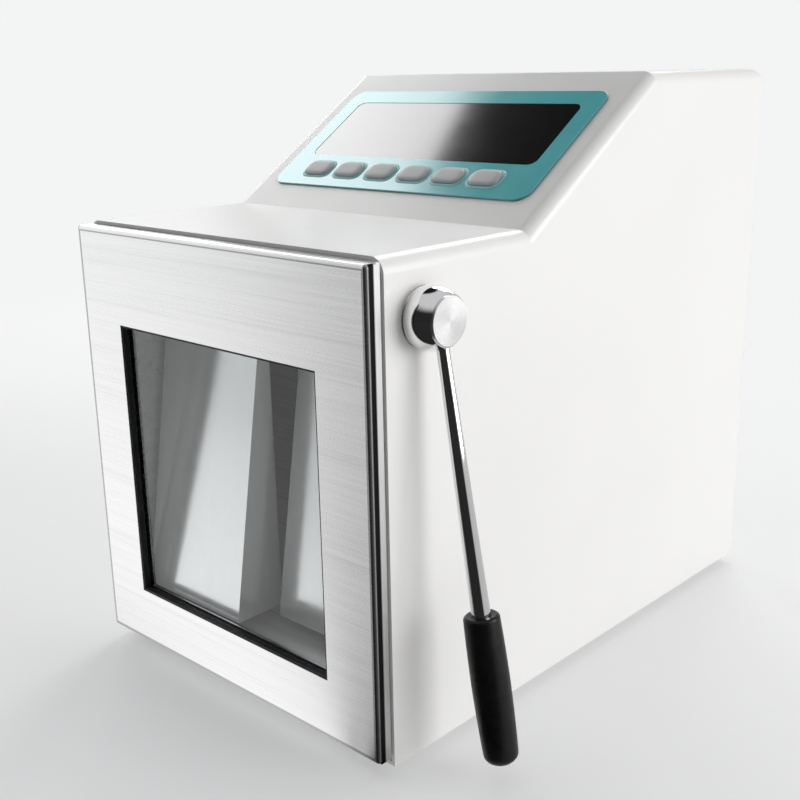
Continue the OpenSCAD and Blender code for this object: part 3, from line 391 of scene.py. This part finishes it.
def spun(name, colour, centre):
    """Aluminium turned on a lathe about X: fine rings, and rays of painted sheen in its colour
    round the centre.
    """
    g = Graph(name)
    offset = g.vector("SUBTRACT", g.place(), centre)
    _, y, z = g.split(offset)
    angle = g.math("ARCTAN2", z, y)
    # Painted sheen: the colour is lighter in two opposite quarters round the centre and darker
    # between.
    rays = g.math("SINE", g.math("MULTIPLY", angle, 2.0))
    tone = g.spread(rays, 0.0, 1.0, source=(-1.0, 1.0))
    g.mottle(colour, tone, dark=0.74, light=1.1, low=0.0, high=1.0)
    rings = g.node("ShaderNodeTexNoise", noise_dimensions="1D")
    rings.inputs["Scale"].default_value = 9000.0
    g.link(g.vector("LENGTH", offset), rings.inputs["W"])
    g.rough(g.spread(rings.outputs["Fac"], 0.22, 0.36))
    g.bump(rings.outputs["Fac"], strength=0.3, distance=0.04 * MM)
    g.set(Metallic=1.0)
    return g.material


def clear_glass(name):
    """Thin float glass: what is behind it shows, and a Fresnel share mirrors the room.

    The share counts at faces seen from outside only: from inside it would be a full mirror.
    """
    g = Graph(name)
    g.tree.nodes.remove(g.shader)
    through = g.shine("ShaderNodeBsdfTransparent", Color=(0.97, 0.98, 0.98, 1))
    mirror = g.shine("ShaderNodeBsdfGlossy", Color=(1, 1, 1, 1), Roughness=0.02)
    fresnel = g.shine("ShaderNodeFresnel", IOR=1.5)
    outer = g.math("SUBTRACT", 1.0, g.node("ShaderNodeNewGeometry").outputs["Backfacing"])
    g.surface(g.mix_shader(g.math("MULTIPLY", fresnel, outer), through, mirror))
    return g.material


def film(name, colour, edge):
    """Printed film of the control panel: glossy, with a deep colour on its cut edge."""
    g = Graph(name)
    print_tone = g.ramp(g.noise(scale=40, detail=2),
                        [(0.3, shade(colour, 0.97)), (0.7, shade(colour, 1.03))])
    normal = g.node("ShaderNodeNewGeometry").outputs["Normal"]
    cut = g.below(g.vector("DOT_PRODUCT", normal, SLOPE_NORMAL), limit=0.7, soft=0.2)
    g.colour(g.blend_colour(print_tone, edge, cut))
    g.rough(g.spread(g.noise(scale=80, detail=3), 0.12, 0.16))
    g.bump(g.noise(scale=2600, detail=2), strength=0.06, distance=0.03 * MM)
    g.set(IOR=2.0, Coat_Weight=0.5, Coat_Roughness=0.12)
    return g.material


def black_glass(name):
    """Dark display cover that mirrors the room softly."""
    g = Graph(name)
    g.colour(g.ramp(g.noise(scale=20, detail=2),
                    [(0.3, (0.004, 0.005, 0.004)), (0.7, (0.006, 0.007, 0.006))]))
    g.rough(g.spread(g.noise(scale=60, detail=3), 0.08, 0.1))
    g.bump(g.noise(scale=1800, detail=2), strength=0.03, distance=0.02 * MM)
    g.set(IOR=2.3, Coat_Weight=0.6, Coat_Roughness=0.09)
    return g.material


def make_materials():
    return {
        "paint": paint("casing_enamel", (0.84, 0.833, 0.815)),
        "door": door_steel("door_brushed_steel"),
        "tub": brushed("chamber_steel", (0.8, 0.8, 0.8), depth=0.1, metal=0.7),
        "paddle": brushed("paddle_steel", (0.93, 0.93, 0.93), along=(0, 0, 1), gloss=0.14,
                          depth=0.06, dark=0.95, metal=0.62, sheen_stretch=0.0),
        "sheet": machined("plated_sheet", (0.56, 0.57, 0.58)),
        "cast": machined("cast_aluminium", (0.5, 0.51, 0.52), gloss=0.5),
        "bronze": machined("bearing_bronze", (0.62, 0.46, 0.24), gloss=0.36),
        "chrome": polished("chrome", (0.9, 0.9, 0.905), gloss=0.03),
        "cap": spun("spun_aluminium", (0.97, 0.97, 0.97), HUB_CENTRE),
        "satin": polished("satin_chrome", (0.9, 0.885, 0.86), gloss=0.24),
        "rubber": rubber("black_rubber", (0.004, 0.004, 0.0042), gloss=0.32),
        "seal": rubber("seal_rubber", (0.015, 0.015, 0.017), gloss=0.5),
        "glass": clear_glass("window_glass"),
        "film": film("panel_film", (0.13, 0.56, 0.59), edge=(0.01, 0.2, 0.21)),
        "display": black_glass("display_black"),
        "key": plastic("key_grey", (0.5, 0.508, 0.505), gloss=0.42, grain=0.2),
        "key_ring": plastic("key_ring_pale", (0.3, 0.6, 0.61), gloss=0.35),
        "black": plastic("black_plastic", (0.022, 0.022, 0.024), gloss=0.45),
        "board": plastic("circuit_board", (0.03, 0.16, 0.08), gloss=0.3),
        "motor": paint("motor_paint", (0.06, 0.065, 0.075), gloss=0.4),
    }


KEY_COUNT = 6
NODE_MATERIAL = {
    "paint": ["outer_casing", "front_rim"],
    "door": ["door_frame", "door_inner_panel"],
    "tub": ["chamber_tub"],
    "paddle": ["paddle_left", "paddle_right"],
    "sheet": ["base_plate", "rear_panel", "hinge_brackets", "hinge_knuckles", "door_arm_left",
              "door_arm_right", "crank_arm_left", "crank_arm_right", "motor_saddle",
              "power_supply", "eccentrics", "foot_screws"],
    "cast": ["guide_block", "crank_supports", "gearbox", "yoke_left", "yoke_right"],
    "bronze": ["shaft_bushes", "rod_bushes"],
    "satin": ["dome_escutcheon"],
    "chrome": ["lever_hub", "lever_rod", "lever_shaft", "arm_rollers",
               "push_rod_left", "push_rod_right", "crankshaft", "eccentric_bearings",
               "hinge_pins", "door_screws", "cover_screws"],
    "cap": ["hub_cap"],
    "rubber": ["lever_grip", "feet"],
    "seal": ["chamber_seal", "window_gasket"],
    "glass": ["door_glass"],
    "film": ["panel_overlay"],
    "display": ["display_window"],
    "key": [f"button_{i}" for i in range(1, KEY_COUNT + 1)],
    "black": ["power_inlet", "switch_body", "switch_rocker"],
    "board": ["display_module", "keypad_board"],
    "motor": ["motor"],
}


def dress_nodes(materials):
    for name, members in NODE_MATERIAL.items():
        for node in members:
            slots = NODES[node].data.materials
            slots.clear()
            slots.append(materials[name])


# Pieces made here: soft keys with a pale ring round each, and the panel's film

KEY_CORNER = 4.6 * MM
KEY_INSET = (1.3 * MM, 0.9 * MM)
KEY_DOWN = 0.3 * MM
# (inset from the key's outline, drop under its top) in mm, from the foot up
KEY_PROFILE = [(0.0, 2.2), (0.0, 1.5), (0.12, 1.05), (0.4, 0.65), (0.9, 0.34), (1.7, 0.13),
               (2.8, 0.03), (4.2, 0.0)]
# (distance outside the key, height over the film) in mm, once round the ring's section
RING_PROFILE = [(0.12, -0.3), (0.12, 0.1), (0.4, 0.34), (1.1, 0.4), (1.8, 0.28), (2.15, 0.05),
                (2.15, -0.3), (0.12, -0.3)]
FILM_HALF = 103.3 * MM
FILM_RISE = (21.2 * MM, 121.1 * MM)
FILM_CORNER = 9.5 * MM
FILM_CHAMFER = 0.35 * MM
DISPLAY_GAP = 0.25 * MM
DISPLAY_CORNER = 5.7 * MM
CORNER_STEPS = 8
LEAST_CORNER = 0.2 * MM
SAME_POINT = 1e-7


class Slope:
    """A node's extent in the panel's own axes: x across, s up the slope and n out of it."""

    up, out = Vector(SLOPE_UP), Vector(SLOPE_NORMAL)

    def __init__(self, node):
        points = [self.to_local(vertex.co) for vertex in NODES[node].data.vertices]
        self.low = Vector([min(p[k] for p in points) for k in range(3)])
        self.high = Vector([max(p[k] for p in points) for k in range(3)])
        self.centre = (self.low + self.high) / 2
        self.half = (self.high - self.low) / 2

    def to_local(self, point):
        return Vector((point.x, point.dot(self.up), point.dot(self.out)))


def on_slope(x, s, n):
    return Vector((x, 0.0, 0.0)) + Slope.up * s + Slope.out * n


def rounded_loop(centre, half, radius, height):
    """Points round a rectangle with round corners on the slope, at a height out of it."""
    radius = max(radius, LEAST_CORNER)
    points = []
    for corner, (sx, ss) in enumerate(((1, 1), (-1, 1), (-1, -1), (1, -1))):
        cx = centre[0] + sx * (half[0] - radius)
        cs = centre[1] + ss * (half[1] - radius)
        for step in range(CORNER_STEPS + 1):
            a = math.pi / 2 * (corner + step / CORNER_STEPS)
            points.append(on_slope(cx + radius * math.cos(a), cs + radius * math.sin(a), height))
    return points


def loft(name, loops, material, capped=True, smooth=True):
    """Skin over loops of equally many points; uncapped, its first and last loops are the same."""
    shape = bmesh.new()
    rows = [[shape.verts.new(point) for point in loop] for loop in loops]
    count = len(rows[0])
    for lower, upper in zip(rows, rows[1:]):
        for k in range(count):
            after = (k + 1) % count
            shape.faces.new((lower[k], lower[after], upper[after], upper[k]))
    if capped:
        shape.faces.new(rows[-1])
        shape.faces.new(rows[0][::-1])
    bmesh.ops.remove_doubles(shape, verts=shape.verts, dist=SAME_POINT)
    bmesh.ops.recalc_face_normals(shape, faces=shape.faces)
    mesh = bpy.data.meshes.new(name)
    shape.to_mesh(mesh)
    shape.free()
    mesh.polygons.foreach_set("use_smooth", [smooth] * len(mesh.polygons))
    mesh.materials.append(material)
    return add_object(name, mesh)


def grown(half, amount):
    return (half[0] + amount, half[1] + amount)


def make_film(materials):
    """Film of the panel at the photo's size, open round the display."""
    sheet, display = Slope("panel_overlay"), Slope("display_window")
    foot = sheet.to_local(Vector((0.0, *SLOPE_FOOT))).y
    centre = (0.0, foot + sum(FILM_RISE) / 2)
    half = (FILM_HALF, (FILM_RISE[1] - FILM_RISE[0]) / 2)
    bottom, top = sheet.low.z, sheet.high.z
    loops = [rounded_loop(centre, grown(half, -inset), FILM_CORNER - inset, height)
             for inset, height in ((0.0, bottom), (0.0, top - FILM_CHAMFER),
                                   (FILM_CHAMFER, top))]
    hole = grown((display.high.x, display.half.y), DISPLAY_GAP)
    loops += [rounded_loop((0.0, display.centre.y), hole, DISPLAY_CORNER, height)
              for height in (top, bottom)]
    loops.append(loops[0])
    piece = loft("film", loops, materials["film"], capped=False, smooth=False)
    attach(piece, "housing")
    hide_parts("panel_overlay")


def make_keys(materials):
    """Soft keys in place of the part's plain ones, and a pale ring on the film round each."""
    film_top = Slope("panel_overlay").high.z
    for i in range(1, KEY_COUNT + 1):
        node = f"button_{i}"
        key = Slope(node)
        centre = (key.centre.x, key.centre.y - KEY_DOWN)
        half = (key.half.x - KEY_INSET[0], key.half.y - KEY_INSET[1])
        sections = [(0.0, key.low.z)]
        sections += [(inset * MM, key.high.z - drop * MM) for inset, drop in KEY_PROFILE]
        skin = [rounded_loop(centre, grown(half, -inset), KEY_CORNER - inset, height)
                for inset, height in sections]
        piece = loft(f"key_{i}", skin, materials["key"])
        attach(piece, node)
        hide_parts(node)
        ring = [rounded_loop(centre, grown(half, out * MM), KEY_CORNER + out * MM,
                             film_top + height * MM)
                for out, height in RING_PROFILE]
        piece = loft(f"key_ring_{i}", ring, materials["key_ring"], capped=False)
        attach(piece, "housing")


# Room: floor, lamps and world

BACKDROP = (0.9, 0.905, 0.91, 1)
ROOM_TINT = (0.98, 0.985, 1.0, 1)
FLOOR_TONE = (0.86, 0.86, 0.86)
FLOOR_RADIUS = 1.7
FLOOR_SIDES = 96
# The floor glows a little in the backdrop's colour near the object, and fully at its rim.
FLOOR_FADE = (0.75, 1.6)
FLOOR_GLOW = 0.3
# What the metal mirrors round the room, as (azimuth in degrees, radiance)
ROOM_RING = [(-180, 0.5), (-100, 0.6), (-72, 1.2), (-56, 1.1), (-50, 0.85), (-46, 0.5),
             (-40, 0.6), (-28, 0.02), (76, 0.02), (92, 0.5), (180, 0.55)]
RING_PEAK = 1.25
# On the floor the ring's azimuths count round a point near the door's right edge.
RING_CENTRE = (0.125, -0.16, 0.0)
ROOM_TOP = 0.62
TOP_STARTS = (0.42, 0.8)
# The display's right half mirrors a dark spot of the room.
DARK_WAY = (-0.45, 0.3, 0.84)
DARK_EDGE = (0.94, 0.978)
DARK_LEVEL = 0.02


def ring_value(g, way):
    """Radiance by azimuth of a direction, from ROOM_RING."""
    x, y, _ = g.split(way)
    azimuth = g.math("ARCTAN2", x, g.math("MULTIPLY", y, -1.0))
    turn = g.spread(azimuth, 0.0, 1.0, source=(-math.pi, math.pi))
    stops = [(degrees / 360 + 0.5, [radiance / RING_PEAK] * 3) for degrees, radiance in ROOM_RING]
    return g.math("MULTIPLY", g.ramp(turn, stops, interpolation="EASE"), RING_PEAK)


def make_floor():
    """Round floor: it keeps the shadow, melts into the backdrop, and shows metal the ring."""
    mesh = bpy.data.meshes.new("floor")
    shape = bmesh.new()
    bmesh.ops.create_circle(shape, cap_ends=True, segments=FLOOR_SIDES, radius=FLOOR_RADIUS)
    shape.to_mesh(mesh)
    shape.free()
    floor = add_object("floor", mesh)
    g = Graph("floor_pale")
    g.mottle(FLOOR_TONE, g.noise(scale=3, detail=2), dark=0.99, light=1.0)
    g.set(Roughness=0.7, Specular_IOR_Level=0.15)
    place = g.place()
    fade = g.step(g.vector("LENGTH", place), *FLOOR_FADE)
    share = g.math("ADD", g.math("MULTIPLY", fade, 1.0 - FLOOR_GLOW), FLOOR_GLOW)
    glow = g.shine("ShaderNodeEmission", Color=BACKDROP)
    seen = g.mix_shader(share, g.shader.outputs[0], glow)
    ring = ring_value(g, g.vector("SUBTRACT", place, RING_CENTRE))
    mirrored = g.shine("ShaderNodeEmission", Strength=ring)
    is_mirrored = g.node("ShaderNodeLightPath").outputs["Is Glossy Ray"]
    g.surface(g.mix_shader(is_mirrored, seen, mirrored))
    mesh.materials.append(g.material)


def softbox(name, at, target, size, radiance):
    """Area lamp whose face shines at a given radiance, where 1 is white."""
    data = bpy.data.lights.new(name, "AREA")
    data.shape = "RECTANGLE"
    data.size, data.size_y = size
    data.energy = radiance * math.pi * size[0] * size[1]
    lamp = add_object(name, data)
    lamp.location = at
    lamp.rotation_mode = "QUATERNION"
    lamp.rotation_quaternion = (Vector(target) - Vector(at)).to_track_quat("-Z", "Y")


def round_place(azimuth, distance, height):
    """Place at an azimuth in degrees, a distance from the object's axis and a height."""
    a = math.radians(azimuth)
    return (distance * math.sin(a), -distance * math.cos(a), height)


def make_lamps():
    softbox("side_key", at=round_place(azimuth=112, distance=1.9, height=0.55),
            target=(0, -0.05, 0.17), size=(1.3, 1.1), radiance=5.0)
    softbox("panel_left", at=(-1.414, 0.46, 1.134), target=(0, 0, 0.31), size=(0.95, 1.04),
            radiance=2.5)
    softbox("deck_rear", at=(-0.7, 1.5, 1.6), target=(0, -0.1, 0.27), size=(0.9, 0.9),
            radiance=5.0)


def make_world():
    """Room round the object: a ring near the horizon, a plain top, a dark spot.

    The camera sees the plain backdrop instead.
    """
    world = bpy.data.worlds.new("room")
    bpy.context.scene.world = world
    world.use_nodes = True
    g = Nodes(world.node_tree)
    g.tree.nodes.clear()
    way = g.node("ShaderNodeTexCoord").outputs["Generated"]
    rise = g.step(g.split(way)[2], *TOP_STARTS)
    height = g.mix_value(ring_value(g, way), ROOM_TOP, rise)
    near = g.vector("DOT_PRODUCT", way, Vector(DARK_WAY).normalized())
    spot = g.spread(near, 1.0, DARK_LEVEL, source=DARK_EDGE, smooth=True)
    room = g.shine("ShaderNodeBackground", Color=ROOM_TINT,
                   Strength=g.math("MULTIPLY", height, spot))
    seen = g.shine("ShaderNodeBackground", Color=BACKDROP)
    is_seen = g.node("ShaderNodeLightPath").outputs["Is Camera Ray"]
    out = g.node("ShaderNodeOutputWorld")
    g.link(g.mix_shader(is_seen, room, seen), out.inputs["Surface"])


make_camera()
MATERIALS = make_materials()
dress_nodes(MATERIALS)
make_film(MATERIALS)
make_keys(MATERIALS)
make_floor()
make_lamps()
make_world()
bpy.context.scene.view_settings.view_transform = "Standard"
